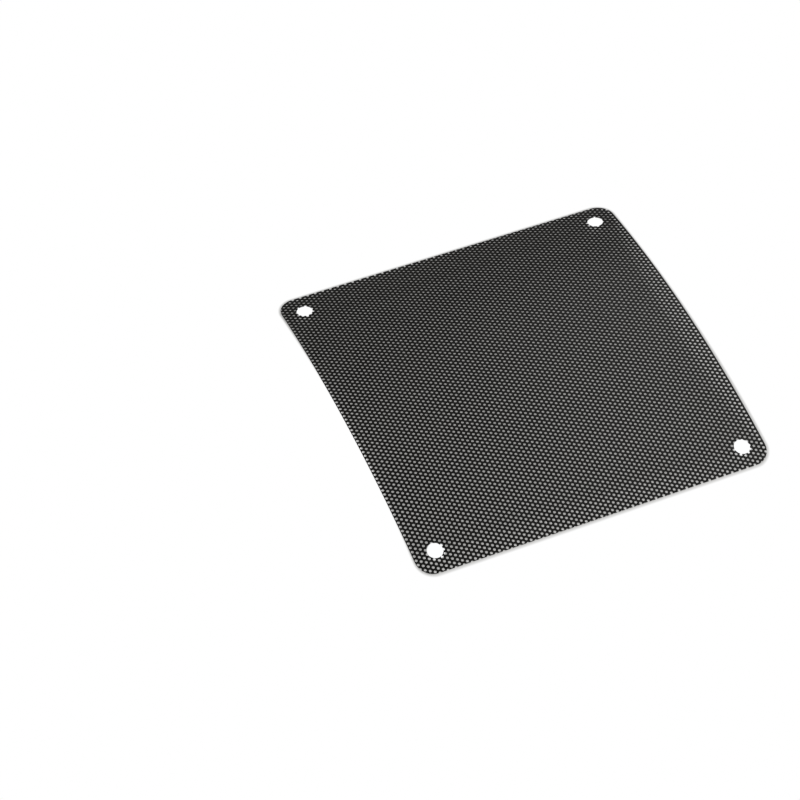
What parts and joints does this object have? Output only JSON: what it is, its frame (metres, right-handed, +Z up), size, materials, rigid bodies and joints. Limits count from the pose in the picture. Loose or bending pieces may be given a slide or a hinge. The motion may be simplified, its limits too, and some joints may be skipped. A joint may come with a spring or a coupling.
{
  "type": "fan dust filter",
  "caption": "Square perforated PVC sheet, thin and slightly bowed, screwed over a fan's inlet to keep dust out.",
  "frame": {"origin": "on the table under the middle of the sheet's footprint", "axes": "+X along the front edge to the right, +Y from the front edge to the back edge, the way in which the sheet curls, +Z up"},
  "size_m": [0.1196, 0.1188, 0.0068],
  "materials": {
    "black_pvc": "matte"
  },
  "bodies": {
    "root": {"filter_sheet": "black_pvc"}
  },
  "joints": []
}
